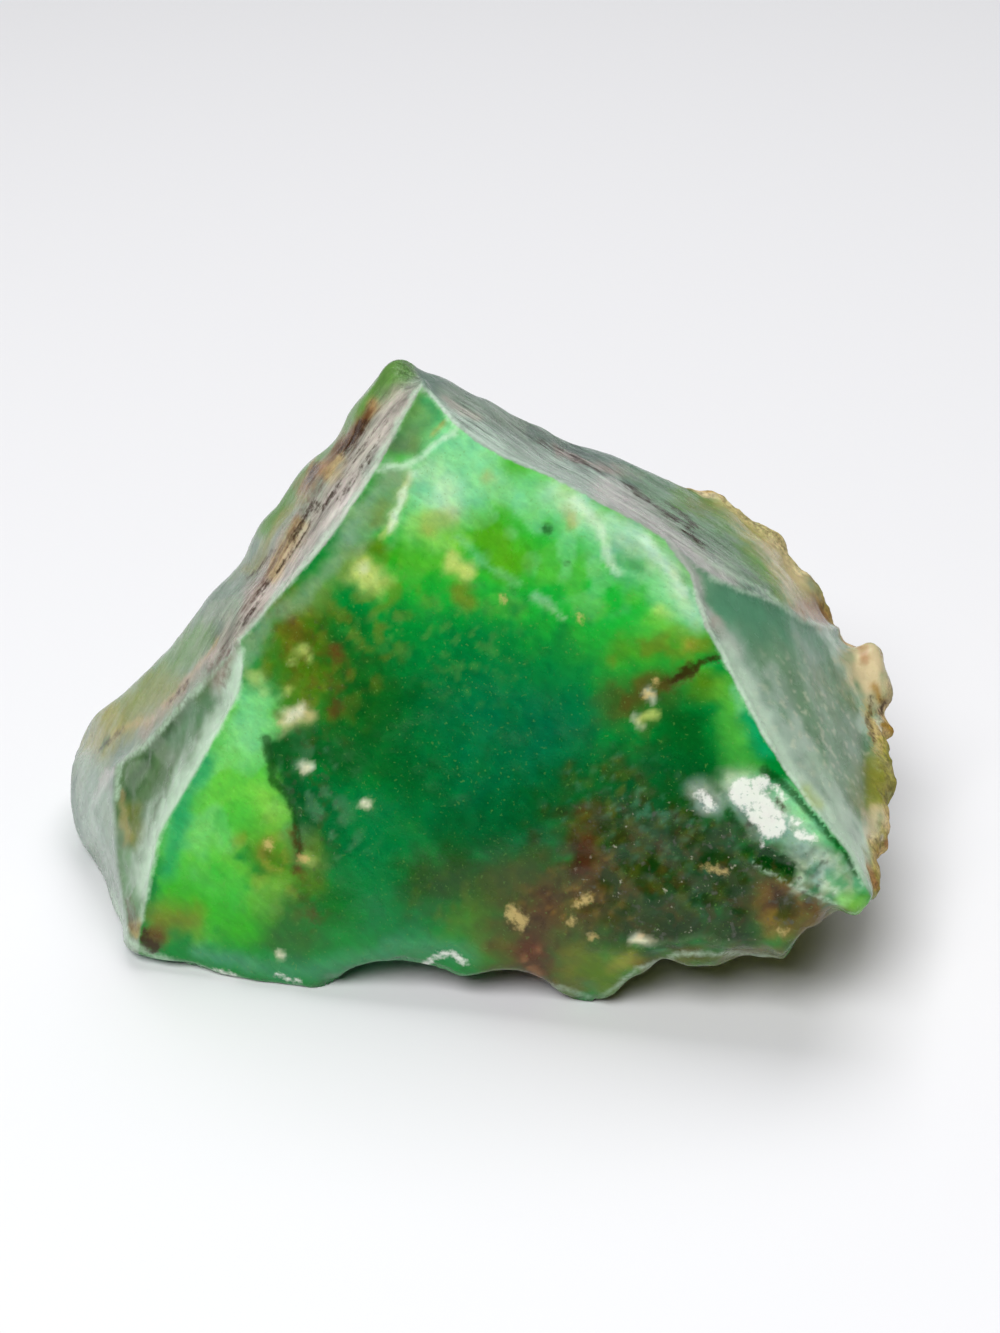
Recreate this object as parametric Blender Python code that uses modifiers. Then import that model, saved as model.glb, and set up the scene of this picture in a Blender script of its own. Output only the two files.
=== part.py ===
"""Raw chrysoprase: one broken block of green chalcedony with a crust of its host rock.

Blender 4.5, metres, +Z up.  The front of the block faces -Y, and the crust is along its right
side (+X) and over the right of its back.  The origin is the bottom centre of the stone's box.

The block is the convex hull of its named corners.  Flake scars are struck off it, lumps of
crust are grown onto it, its breaks are worn a little round, its faces are left uneven, and it
is cut flat where it rests.
"""

import math
import random

import bmesh
import bpy
from mathutils import Matrix, Vector, noise
from mathutils.bvhtree import BVHTree

MM = 0.001

STONE = "chrysoprase"

# Driving dimensions, in millimetres.
VOXEL = 0.45            # cell of the mesh that the breaks are worn on
WEAR_PASSES = 3         # smoothing passes over that mesh
WEAR_LOSS = 0.10        # what the smoothing takes off, given back
FOOT_CUT = 0.30         # height at which the underside is cut flat
FACE_COUNT = 7500       # triangles in the finished stone

# Unevenness of the faces: (spacing, height) of each layer of noise, in millimetres.
FACE_WAVES = [(7.0, 0.22), (2.6, 0.07)]
CRUST_WAVES = [(1.7, 0.30)]
CRUST_REACH = 1.1       # how far from a lump's middle its roughness fades out, in lump radii

# Corners of the block: x to the right, y to the back, z up, in millimetres.
CROWN = [(-5.5, 2.1, 29.1), (-4.6, 3.2, 29.1), (-3.7, 0.1, 28.9)]
RIGHT_RIDGE = [
    (0.2, -2.6, 26.4), (4.9, -3.7, 24.2), (7.7, -4.9, 23.3), (9.2, -6.0, 21.6),
    (11.0, -8.6, 18.6), (12.8, -11.1, 15.6), (14.8, -12.5, 12.7), (17.0, -13.8, 10.5),
    (18.2, -15.2, 8.9),
]
RIGHT_SHOULDER = [(11.0, -4.0, 21.2), (14.6, -0.8, 18.2), (17.9, 3.4, 13.2)]
LEFT_RIDGE = [
    (-5.9, -1.6, 25.6), (-8.4, -2.8, 22.1), (-13.4, -2.6, 16.1), (-14.7, -4.7, 11.4),
    (-16.4, -6.0, 8.8), (-17.9, -7.5, 5.0), (-18.8, -8.5, 1.3),
]
LEFT_SHOULDER = [(-16.4, -1.2, 11.7), (-18.6, -1.1, 9.2), (-20.7, -1.6, 5.8), (-20.2, -4.3, 3.6)]
FRONT_BULGE = [
    (0.0, -6.4, 19.6), (6.4, -9.7, 16.4), (11.9, -12.6, 13.1), (13.3, -13.2, 10.1),
    (4.2, -11.1, 8.3),
]
LIP = [(-15.2, -9.4, 0.6), (-10.3, -10.2, 0.0), (4.9, -11.8, 0.4), (13.9, -12.6, 3.9)]
BACK_EDGE = [
    (0.0, 6.4, 25.0), (3.2, 8.2, 22.4), (8.2, 10.0, 19.5), (12.1, 10.0, 18.1),
    (15.7, 8.7, 15.5), (17.9, 6.4, 12.8), (-2.0, 9.6, 24.0), (-10.5, 5.5, 21.7),
    (-14.4, 7.3, 15.1), (-19.7, 8.2, 7.6), (-23.7, 7.7, 4.3),
]
LEFT_END = [(-24.4, 5.9, 2.0), (-23.7, 3.9, 0.1), (-21.5, -0.9, 0.3), (-19.5, -7.0, 0.6)]
RIGHT_SIDE = [
    (19.4, -8.7, 9.0), (20.2, -1.4, 9.6), (20.6, 2.3, 10.4), (20.0, 5.0, 11.0),
    (16.2, -8.2, 4.6), (17.6, -0.9, 4.8), (15.8, 7.3, 4.6),
]
BACK = [
    (14.6, 11.8, 8.2), (7.3, 15.8, 11.0), (-5.5, 16.6, 9.1), (-16.4, 14.0, 5.5),
    (-22.6, 9.8, 2.6),
]
FOOT = [
    (-22.6, 3.4, 0.0), (-19.4, -5.0, 0.0), (-10.0, -9.0, 0.0), (4.1, -9.2, 0.0),
    (9.0, -4.6, 0.0), (10.6, 4.2, 0.0), (3.6, 11.6, 0.0), (-12.4, 12.0, 0.0),
    (-21.2, 8.0, 0.0),
]
CORNERS = (
    CROWN + RIGHT_RIDGE + RIGHT_SHOULDER + LEFT_RIDGE + LEFT_SHOULDER + FRONT_BULGE + LIP
    + BACK_EDGE + LEFT_END + RIGHT_SIDE + BACK + FOOT
)

# Flake scars: centre and radii of the ellipsoid that takes each one off, in millimetres.
SCARS = {
    "lip_arch": ((-4.4, -12.6, -1.6), (4.7, 6.0, 4.5)),
    "lip_step": ((0.8, -13.4, -1.3), (3.8, 6.0, 3.9)),
    "lip_bay": ((9.6, -13.0, -2.0), (4.0, 7.5, 5.9)),
    "corner_nick": ((16.2, -15.0, 4.0), (2.2, 4.0, 3.3)),
    "left_hollow": ((-38.8, 23.2, 33.6), (36.2, 36.2, 36.2)),
    "top_hollow": ((12.0, 25.0, 60.0), (36.4, 36.4, 36.4)),
    "back_high": ((5.0, 25.5, 27.5), (17.0, 16.0, 17.0)),
    "back_left": ((-13.0, 22.5, 20.0), (15.0, 15.0, 15.0)),
    "back_low": ((0.0, 22.0, 1.0), (12.0, 9.5, 9.0)),
    "under_right": ((22.0, 0.0, -2.5), (10.5, 13.0, 8.5)),
    "left_foot": ((-27.6, 8.6, -2.0), (7.5, 12.0, 7.5)),
}

# Crust: runs of lumps from a start to an end, with their number and size, in millimetres.
CRUST_RUNS = [
    ((18.5, -13.0, 8.6), (19.1, -9.5, 8.8), 4, 0.55),
    ((19.2, -9.0, 8.8), (20.3, 0.6, 9.8), 12, 0.95),
    ((20.2, 2.0, 10.3), (20.2, 3.4, 10.9), 3, 1.35),
    ((17.7, 6.2, 12.8), (12.4, 9.6, 17.6), 9, 0.9),
]
# Crust over the back: lumps on a fan of bearings seen from the core (degrees, 90 is the back).
CRUST_CORE = (2.0, 3.0, 9.0)
CRUST_BEARINGS = (18, 78, 8)
CRUST_HEIGHTS = (-16, 30, 6)
CRUST_LUMP = 1.7


def clear_scene():
    """Remove the objects that a new file starts with."""
    for old in list(bpy.data.objects):
        bpy.data.objects.remove(old, do_unlink=True)


def new_collection(name):
    """A collection under the scene's own."""
    result = bpy.data.collections.new(name)
    bpy.context.scene.collection.children.link(result)
    return result


def new_object(name, shape, collection):
    """An object that takes a finished bmesh, linked to one collection."""
    mesh = bpy.data.meshes.new(name)
    shape.to_mesh(mesh)
    shape.free()
    result = bpy.data.objects.new(name, mesh)
    collection.objects.link(result)
    return result


def make_block(collection):
    """The convex hull of the corners."""
    shape = bmesh.new()
    for corner in CORNERS:
        shape.verts.new(Vector(corner) * MM)
    hull = bmesh.ops.convex_hull(shape, input=shape.verts)
    inside = [part for part in hull["geom_interior"] if isinstance(part, bmesh.types.BMVert)]
    bmesh.ops.delete(shape, geom=inside, context="VERTS")
    bmesh.ops.recalc_face_normals(shape, faces=shape.faces)
    return new_object(STONE, shape, collection)


def add_ellipsoid(shape, centre, radii, subdivisions):
    """Add a closed ellipsoid to a bmesh; centre and radii in millimetres."""
    place = Matrix.Translation(Vector(centre) * MM) @ Matrix.Diagonal((*radii, 1.0 / MM)) * MM
    bmesh.ops.create_icosphere(shape, subdivisions=subdivisions, radius=1.0, matrix=place)


def strike_scars(stone, tools):
    """Take the flake scars off the block."""
    for name, (centre, radii) in SCARS.items():
        shape = bmesh.new()
        add_ellipsoid(shape, centre, radii, subdivisions=4)
        cutter = new_object("scar_" + name, shape, tools)
        cutter.hide_render = True
        cutter.display_type = "WIRE"
        cut = stone.modifiers.new(name, "BOOLEAN")
        cut.operation = "DIFFERENCE"
        cut.object = cutter


def bake(thing):
    """Put the result of an object's modifiers into its mesh."""
    graph = bpy.context.evaluated_depsgraph_get()
    mesh = bpy.data.meshes.new_from_object(thing.evaluated_get(graph))
    thing.modifiers.clear()
    thing.data = mesh
    mesh.name = thing.name


def run_lumps(chance):
    """The lumps of the crust's runs: (middle, radius) in millimetres."""
    for start, end, count, radius in CRUST_RUNS:
        for step in range(count):
            middle = Vector(start).lerp(Vector(end), step / (count - 1))
            wander = Vector([chance.uniform(-0.35, 0.35) * radius for _ in range(3)])
            yield middle + wander, radius


def back_lumps(stone, chance):
    """The lumps of the crust on the back, each sunk in the surface that it grew on."""
    surface = BVHTree.FromObject(stone, bpy.context.evaluated_depsgraph_get())
    core = Vector(CRUST_CORE) * MM
    for bearing in range(*CRUST_BEARINGS):
        for height in range(*CRUST_HEIGHTS):
            turn = math.radians(bearing + chance.uniform(-3, 3))
            rise = math.radians(height + chance.uniform(-3, 3))
            level = math.cos(rise)
            way = Vector((level * math.cos(turn), level * math.sin(turn), math.sin(rise)))
            hit = surface.ray_cast(core, way)[0]
            radius = CRUST_LUMP * chance.uniform(0.7, 1.2)
            yield hit / MM - way * 0.72 * radius, radius


def grow_crust(stone):
    """Set the crust's lumps into the block, and return them."""
    chance = random.Random(7)
    lumps = list(run_lumps(chance)) + list(back_lumps(stone, chance))
    shape = bmesh.new()
    shape.from_mesh(stone.data)
    for middle, radius in lumps:
        radii = [radius * chance.uniform(0.75, 1.15) for _ in range(3)]
        add_ellipsoid(shape, middle, radii, subdivisions=3)
    shape.to_mesh(stone.data)
    shape.free()
    return lumps


def wear(stone):
    """Fuse block and lumps in one skin, and round the breaks as weather does."""
    cells = stone.modifiers.new("cells", "REMESH")
    cells.mode = "VOXEL"
    cells.voxel_size = VOXEL * MM
    smooth = stone.modifiers.new("wear", "SMOOTH")
    smooth.factor = 0.5
    smooth.iterations = WEAR_PASSES
    swell = stone.modifiers.new("swell", "DISPLACE")
    swell.strength = WEAR_LOSS * MM
    swell.mid_level = 0.0


def wave(place, waves):
    """Height of layered noise at a place, both in millimetres."""
    return sum(height * noise.noise(place / spacing) for spacing, height in waves)


def roughen(stone, lumps):
    """Leave the faces uneven, and the crust more so."""
    mesh = stone.data
    normals = [vert.normal.copy() for vert in mesh.vertices]
    for vert, normal in zip(mesh.vertices, normals):
        place = vert.co / MM
        nearest = min((place - middle).length / radius for middle, radius in lumps)
        crusty = max(0.0, min(1.0, CRUST_REACH + 1.0 - nearest))
        height = wave(place, FACE_WAVES) + crusty * wave(place, CRUST_WAVES)
        vert.co += normal * height * MM


def thin_out(stone):
    """Reduce the stone to the number of triangles it needs."""
    stone.data.calc_loop_triangles()
    reduce = stone.modifiers.new("reduce", "DECIMATE")
    reduce.ratio = min(1.0, FACE_COUNT / len(stone.data.loop_triangles))
    reduce.use_collapse_triangulate = True
    bake(stone)


def cut_foot(stone):
    """Cut the underside flat, and stand the stone on it over the origin."""
    shape = bmesh.new()
    shape.from_mesh(stone.data)
    cut = bmesh.ops.bisect_plane(
        shape, geom=list(shape.verts) + list(shape.edges) + list(shape.faces),
        plane_co=(0, 0, FOOT_CUT * MM), plane_no=(0, 0, 1), clear_inner=True,
    )
    rim = [part for part in cut["geom_cut"] if isinstance(part, bmesh.types.BMEdge)]
    bmesh.ops.edgenet_fill(shape, edges=rim)
    bmesh.ops.dissolve_degenerate(shape, dist=0.02 * MM, edges=shape.edges)
    bmesh.ops.triangulate(shape, faces=shape.faces)
    bmesh.ops.recalc_face_normals(shape, faces=shape.faces)
    low = [min(vert.co[axis] for vert in shape.verts) for axis in range(3)]
    high = [max(vert.co[axis] for vert in shape.verts) for axis in range(3)]
    origin = Vector(((low[0] + high[0]) / 2, (low[1] + high[1]) / 2, low[2]))
    bmesh.ops.translate(shape, vec=-origin, verts=shape.verts)
    shape.to_mesh(stone.data)
    shape.free()


def paint(stone):
    """One green stone material."""
    green = bpy.data.materials.new("chrysoprase_green")
    green.use_nodes = True
    shader = green.node_tree.nodes["Principled BSDF"]
    shader.inputs["Base Color"].default_value = (0.03, 0.24, 0.07, 1.0)
    shader.inputs["Roughness"].default_value = 0.2
    shader.inputs["Metallic"].default_value = 0.0
    stone.data.materials.clear()
    stone.data.materials.append(green)
    stone.data.shade_smooth()
    stone.data.set_sharp_from_angle(angle=math.radians(35))


def main():
    clear_scene()
    parts = new_collection("raw_chrysoprase")
    tools = new_collection("tools")
    stone = make_block(parts)
    strike_scars(stone, tools)
    bake(stone)
    lumps = grow_crust(stone)
    wear(stone)
    bake(stone)
    roughen(stone, lumps)
    thin_out(stone)
    cut_foot(stone)
    paint(stone)


main()
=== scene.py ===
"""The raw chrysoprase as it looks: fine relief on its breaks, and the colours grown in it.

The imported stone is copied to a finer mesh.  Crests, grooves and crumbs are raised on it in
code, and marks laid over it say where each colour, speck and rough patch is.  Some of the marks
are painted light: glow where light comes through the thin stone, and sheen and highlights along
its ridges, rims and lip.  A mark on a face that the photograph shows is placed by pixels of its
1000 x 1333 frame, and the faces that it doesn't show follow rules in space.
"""

import math

import bpy
import numpy as np
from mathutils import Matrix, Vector, noise


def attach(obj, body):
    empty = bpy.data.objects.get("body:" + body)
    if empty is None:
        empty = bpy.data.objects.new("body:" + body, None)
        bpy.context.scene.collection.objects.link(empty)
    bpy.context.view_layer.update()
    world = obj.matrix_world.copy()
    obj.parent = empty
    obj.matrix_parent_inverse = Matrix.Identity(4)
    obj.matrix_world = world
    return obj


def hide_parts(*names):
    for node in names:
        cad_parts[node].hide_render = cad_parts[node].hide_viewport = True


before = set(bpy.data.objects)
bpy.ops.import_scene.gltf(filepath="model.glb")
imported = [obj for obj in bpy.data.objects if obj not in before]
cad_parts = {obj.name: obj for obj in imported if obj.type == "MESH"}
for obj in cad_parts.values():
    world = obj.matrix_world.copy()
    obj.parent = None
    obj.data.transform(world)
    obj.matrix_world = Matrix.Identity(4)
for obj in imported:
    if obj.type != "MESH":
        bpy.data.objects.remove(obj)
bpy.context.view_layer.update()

MM = 0.001
STONE = "chrysoprase"

# Camera: the frame's middle and focal length in pixels, and where the lens stands in metres.
MIDDLE = (500.0, 666.5)
FOCAL = 2396.0
FRAME_HEIGHT = 1333.0
SENSOR = 36.0
LENS_AT = (0.00148, -0.1089, 0.0755)
LENS_DOWN = math.radians(30.0)

# Fine mesh, in millimetres.
CELL = 0.235            # edge of its squares
EVEN_PASSES = 8         # smoothing that takes the solid's facets out
EVEN_LOSS = 0.03        # what that smoothing takes off, given back
FOOT_DEPTH = 0.12       # how close to the ground the foot is left as it is

# Noises that the surface carries: size in millimetres and shift.
FINE = (0.8, 40.0)
MEDIUM = (2.2, 50.0)
COARSE = (6.5, 60.0)
BROAD = (5.0, 70.0)

# Wander of the marks' edges: (spacing in millimetres, reach in pixels).
WANDER = [(3.2, 6.0), (1.1, 4.5), (0.5, 2.5)]
WANDER_SEED = 1795472816    # without a seed, Blender takes the clock's and each run differs
EDGE_WANDER = 0.15      # share of that wander on the borders of the faces
CRISP_WANDER = 0.45     # on the crisp marks
SHAPE_WANDER = 0.5      # and on the hollows and the grain
EDGE_SOFTNESS = 2.5     # pixels either side of a face's border
RAGGED = 0.45           # how far the edges of the colours break up
PLAIN_SOFTNESS = 0.9    # softness of a mark's edge where the mark gives none
FIELD_REACH = 12.0      # pixels either side of a crisp edge that are kept
CLOUD_START = 0.30      # noise at which a cloud of no share would start
CLOUD_FULL = 0.53       # and be full
FIRST_OF_SIDES = 300    # number of the first mark in SIDES; it shifts the noise of the clouds
SEEN_TURN = (-0.20, 0.05)   # cosine to the lens where a face starts to be seen, and is in full
SEEN_END = (12.5, 10.5)     # how far back, in millimetres, the seen side ends and starts to fade
LINES_END = (9.5, 8.0)      # the same for the crisp lines that run along ridges

# Crust: its core, the bearings and heights that it covers (degrees), and its runs (millimetres).
CRUST_CORE = (3.5, 2.5, 8.7)
CRUST_BEARING = (14.0, 22.0, 76.0, 86.0)
CRUST_HEIGHT = (-30.0, -20.0, 24.0, 32.0)
CRUST_RUNS = [
    [(20.0, -13.5, 8.3), (20.6, -10.0, 8.5), (21.8, 0.1, 9.5), (21.7, 2.9, 10.6),
     (19.2, 5.7, 12.5), (13.9, 9.1, 17.3), (9.0, 10.2, 20.2)],
]
CRUST_WIDTH = (0.7, 1.7)
CRUST_WANDER = 0.12     # share of the wander on its edge

# Ways that the grain runs on the left and right upper faces and on the front.
LEFT_GRAIN = Vector((-0.52, -0.18, -0.835)).normalized()
RIGHT_GRAIN = Vector((0.805, -0.38, -0.456)).normalized()
FRONT_GRAIN = Vector((0.78, 0.0, -0.62)).normalized()

# Relief of the grain of the upper faces: way, stretch, size, shift and rise in millimetres.
GRAIN_RELIEF = [
    (LEFT_GRAIN, 7.0, 0.7, 140.0, 0.12),
    (RIGHT_GRAIN, 8.0, 0.7, 150.0, 0.10),
]

# Rise of the medium and fine noise on rough ground and on hidden faces, and of the medium noise
# on the front, in millimetres.
ROUGH_RISE = (0.14, 0.12)
HIDDEN_RISE = (0.12, 0.06)
FRONT_RISE = 0.05

# Crumbs of the crust: size, shift and rise of each layer, in millimetres.
CRUMBS = [(1.3, 160.0, 0.20), (*FINE, 0.16), (0.5, 165.0, 0.07)]

# Colours of the stone as display values, given one by one, some from spots read on the photograph.
COLOURS = {
    "pale mint": (198, 224, 198),
    "mint": (128, 206, 142),
    "spring green": (96, 190, 66),
    "lime": (128, 196, 74),
    "leaf green": (46, 166, 18),
    "vivid green": (20, 168, 52),
    "emerald": (14, 150, 92),
    "green": (8, 128, 50),
    "teal": (0, 114, 58),
    "blue teal": (0, 102, 68),
    "deep teal": (2, 86, 44),
    "deep green": (4, 84, 30),
    "dark green": (12, 62, 18),
    "forest": (28, 92, 24),
    "fern": (104, 150, 72),
    "cap green": (98, 150, 86),
    "leaf olive": (84, 156, 18),
    "olive green": (84, 122, 16),
    "olive": (112, 120, 36),
    "dull olive": (62, 76, 30),
    "dark olive": (36, 56, 12),
    "yellow olive": (158, 152, 62),
    "straw": (182, 200, 108),
    "cream": (226, 228, 196),
    "white": (238, 240, 230),
    "grey mint": (180, 198, 184),
    "grey green": (150, 166, 146),
    "dim grey green": (122, 144, 132),
    "storm green": (78, 100, 92),
    "sage": (104, 148, 114),
    "grey sage": (128, 162, 126),
    "sea green": (84, 150, 116),
    "moss": (92, 124, 82),
    "slate green": (42, 76, 46),
    "pink grey": (184, 168, 158),
    "pale grey": (204, 202, 196),
    "tan": (206, 178, 118),
    "pale olive": (192, 184, 126),
    "pale tan": (224, 204, 160),
    "crumb tan": (206, 182, 116),
    "ochre": (172, 134, 58),
    "orange brown": (172, 122, 78),
    "brown": (98, 70, 32),
    "olive brown": (100, 84, 26),
    "red brown": (86, 48, 30),
    "purple brown": (72, 44, 36),
    "dark brown": (52, 34, 18),
}

# Colours of the hidden faces: the field that each follows, its colour and strength, and where in
# the field it starts and is full.
HIDDEN_LAYERS = [
    ("coarse", "sea green", 1.0, -0.4, 0.3),
    ("coarse", "green", 0.8, 0.1, 0.7),
    ("broad", "fern", 0.7, 0.0, 0.6),
    ("broad", "yellow olive", 0.5, 0.35, 0.8),
    ("stain", "olive brown", 0.7, 0.35, 0.75),
    ("stain", "brown", 0.6, 0.65, 0.95),
    ("bloom", "grey mint", 0.5, 0.40, 0.85),
    ("bloom", "cream", 0.6, 0.75, 1.0),
]

# Colours of the crust: size in millimetres and shift of the noise, and then the same.
CRUST_LAYERS = [
    (*MEDIUM, "pale tan", 1.0, 0.0, 0.4),
    (*FINE, "ochre", 1.0, 0.15, 0.5),
    (2.6, 110.0, "yellow olive", 0.8, 0.15, 0.4),
    (1.0, 120.0, "orange brown", 0.8, 0.3, 0.5),
    (0.7, 130.0, "cream", 0.8, 0.35, 0.55),
]

# Specks in the stone: size, limits of the noise, colour, light, and the ground that they are on.
SPECKS = [
    (1.3, 0.50, 0.64, "dark green", 0.7, "rough"),
    (0.70, 0.56, 0.68, "brown", 0.6, "stained"),
    (0.50, 0.62, 0.74, "grey green", 0.4, "rough"),
    (0.30, 0.68, 0.76, "cream", 0.5, "rough"),
    (0.50, 0.60, 0.70, "dark brown", 0.8, "stained"),
]
SPECK_STRENGTH = 0.7

# Tints that warm and cool the clouds of the front.
WARM = (1.40, 1.08, 0.80, 1.0)
COOL = (0.45, 0.78, 1.05, 1.0)

# Surface of the stone.
GLOSS = (0.16, 0.34)            # roughness of the stone, from spot to spot
CRUST_ROUGHNESS = 0.8
BUMP_STONE, BUMP_CRUST = 0.18, 1.6
BUMP_THREADS = 0.35
BUMP_DEPTH = 0.00012            # metres
GLOW = 0.18                     # subsurface light, its colours and its reach in metres
GLOW_COLOURS = (0.4, 1.0, 0.5)
GLOW_REACH = 0.001
REFRACTION = 1.54
SHINE = 0.26

# Floor and light. Lamps: name, place and width in metres, power, and whether they mirror.
FLOOR_HALF = 2.0
FLOOR_COLOUR = (0.80, 0.80, 0.82, 1.0)
FLOOR_ROUGHNESS = 0.9
FLOOR_SHINE = 0.1
SKY_RAMP = {"From Min": -0.6, "From Max": 0.5, "To Min": 0.15, "To Max": 1.0}
LAMPS = [
    ("fill", (-0.12, -0.28, 0.40), 0.25, 2.3, False),
    ("sky", (0.05, 0.20, 0.50), 0.40, 1.8, True),
]

# Kinds of crisp mark: colour, wander of the edge and its softness in pixels, and strength.
KINDS = {
    # white: the white patch, part of it a painted glint, and painted highlights on the lip
    "white": ("white", 11.0, 3.0, 0.85),
    "tan": ("crumb tan", 14.0, 4.0, 0.70),
    "dark": ("dark brown", 12.0, 3.0, 0.85),
    "brown": ("red brown", 18.0, 6.0, 0.55),
    # pale: painted highlights along ridges, rims, crests and the lip
    "pale": ("pale mint", 6.0, 3.5, 0.60),
    "deep": ("dark green", 6.0, 3.0, 0.75),
}

# Edges of the faces as the photograph shows them, in pixels.
LEFT_RIDGE = [(422, 386), (400, 424), (380, 465), (352, 506), (329, 540), (275, 600), (240, 642)]
LEFT_BORDER = [
    (240, 642), (230, 659), (188, 698), (149, 743), (116, 767), (114, 800), (119, 866), (130, 936),
]
RIM = [
    (240, 642), (244, 668), (240, 690), (212, 743), (179, 800), (158, 836), (149, 878), (139, 940),
]
RIGHT_RIDGE = [
    (422, 386), (440, 408), (456, 426), (478, 443), (504, 458), (548, 476), (600, 503), (640, 524),
    (664, 540), (690, 575), (698, 604), (706, 628), (722, 656), (734, 682), (746, 704), (764, 738),
    (782, 768), (806, 800), (832, 832), (852, 858), (864, 884), (874, 902),
]
SIDE_RIDGE = [
    (664, 540), (690, 562), (718, 580), (742, 590), (780, 606), (810, 625), (836, 631),
]
RIGHT_BUNDLE = [(470, 414), (536, 440), (600, 474), (660, 508), (708, 545), (760, 586)]

# Zones of the grain: face, line that it gathers along, reach in pixels and least strength.
GRAIN_ZONES = [
    ("left", LEFT_RIDGE, (18.0, 44.0), 0.12),
    ("top", RIGHT_BUNDLE, (8.0, 26.0), 0.15),
]

# Ground on the front that is rough, and that is stained: radius, softness and points in pixels.
ROUGH_GROUND = (68, 0.5, [(640, 860), (700, 885), (750, 890)])
STAINED_GROUND = (30, 0.8, [(296, 630), (310, 700), (310, 850)])

# Corners of the faces: the front, the left upper face and the facet cut between those two, and
# the right upper face and the one under it.
FACES = {
    "front": LEFT_RIDGE + RIM[1:] + [
        (140, 1010), (420, 1060), (640, 1060), (830, 990), (900, 930),
    ] + RIGHT_RIDGE[::-1],
    "left": LEFT_RIDGE + LEFT_BORDER[1:] + [
        (90, 960), (20, 900), (20, 700), (300, 400), (400, 330),
    ],
    "cut": RIM + LEFT_BORDER[::-1],
    "top": RIGHT_RIDGE[:9] + SIDE_RIDGE[1:] + [(860, 600), (760, 440), (520, 330), (400, 330)],
    "right": SIDE_RIDGE + [(960, 620), (960, 900), (890, 930)] + RIGHT_RIDGE[:8:-1],
}

# Pulls that set the outline: a place, its reach, and its way across and down, in pixels.
PULLS = [
    ((400, 364), 30, (0, -6)),
    ((360, 384), 36, (8, 1)),
    ((322, 430), 62, (12, 7)),
    ((292, 472), 30, (4, 2)),
    ((277, 498), 40, (6, 4)),
    ((158, 648), 50, (1, 1)),
    ((240, 560), 56, (6, 5)),
    ((74, 735), 34, (8, 3)),
    ((80, 874), 54, (15, -4)),
    ((100, 912), 44, (9, -3)),
    ((120, 930), 30, (6, -3)),
    ((444, 376), 32, (0, -4)),
    ((560, 430), 64, (0, 8)),
    ((515, 415), 34, (0, 4)),
    ((735, 508), 34, (4, -5)),
    ((898, 682), 30, (-7, -4)),
    ((868, 656), 30, (4, -11)),
    ((892, 782), 26, (4, 0)),
    ((770, 536), 36, (4, -4)),
    ((894, 842), 26, (-7, 0)),
    ((785, 938), 28, (0, 16)),
    ((836, 924), 24, (0, -12)),
    ((740, 962), 28, (0, -9)),
    ((665, 966), 26, (0, -8)),
    ((580, 1002), 30, (4, -6)),
    ((328, 986), 18, (0, -6)),
    ((190, 976), 40, (0, -5)),
]

# Crests along the edges of the faces: line, rise in millimetres, reach in pixels. They rise to
# the line by a power of how near it is.
CREST_POWER = 1.5
CRESTS = [
    (LEFT_RIDGE, 0.20, 8.0),
    (LEFT_BORDER, 0.15, 7.0),
    (RIM, 0.20, 8.0),
    (RIGHT_RIDGE, 0.20, 8.0),
    (SIDE_RIDGE, 0.16, 6.0),
    ([(458, 428), (435, 451), (408, 467), (375, 472)], 0.14, 8.0),
    ([(435, 451), (415, 487), (402, 517), (385, 543), (350, 566)], 0.12, 8.0),
    ([(572, 509), (594, 522), (604, 541), (617, 566), (640, 588)], 0.05, 8.0),
    ([(646, 547), (668, 573), (688, 590)], 0.05, 7.0),
    ([(744, 859), (779, 878), (809, 893), (836, 904), (856, 910)], 0.16, 9.0),
    ([(590, 945), (640, 950), (700, 938), (760, 950)], 0.12, 8.0),
    ([(265, 741), (271, 779), (284, 792), (295, 818), (298, 850)], -0.08, 7.0),
    ([(763, 771), (801, 802), (820, 825), (843, 847), (855, 870)], -0.08, 7.0),
]

# Hollows: face, rise in millimetres (below zero goes in), radius, softness and points in pixels.
HOLLOWS = [
    ("cut", -0.35, 16, 0.8, [(210, 706), (160, 760), (138, 820), (136, 880)]),
    ("front", -0.20, 13, 0.7, [(424, 410), (402, 446)]),
    ("front", -0.10, 12, 0.8, [(395, 490), (370, 526)]),
    ("front", -0.12, 5, 0.7, [(668, 684), (700, 666), (722, 658)]),
    ("front", -0.15, 18, 0.5, [(746, 788), (778, 828)]),
    ("front", -0.30, 10, 0.5, [(770, 862), (786, 866)]),
    ("front", -0.12, 18, 0.7, [(800, 866), (838, 886)]),
    ("front", -0.20, 14, 0.8, [(780, 906), (826, 908)]),
    ("front", -0.18, 10, 0.8, [(404, 962), (450, 962)]),
    ("front", -0.10, 60, 0.8, [(470, 740)]),
]
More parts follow.
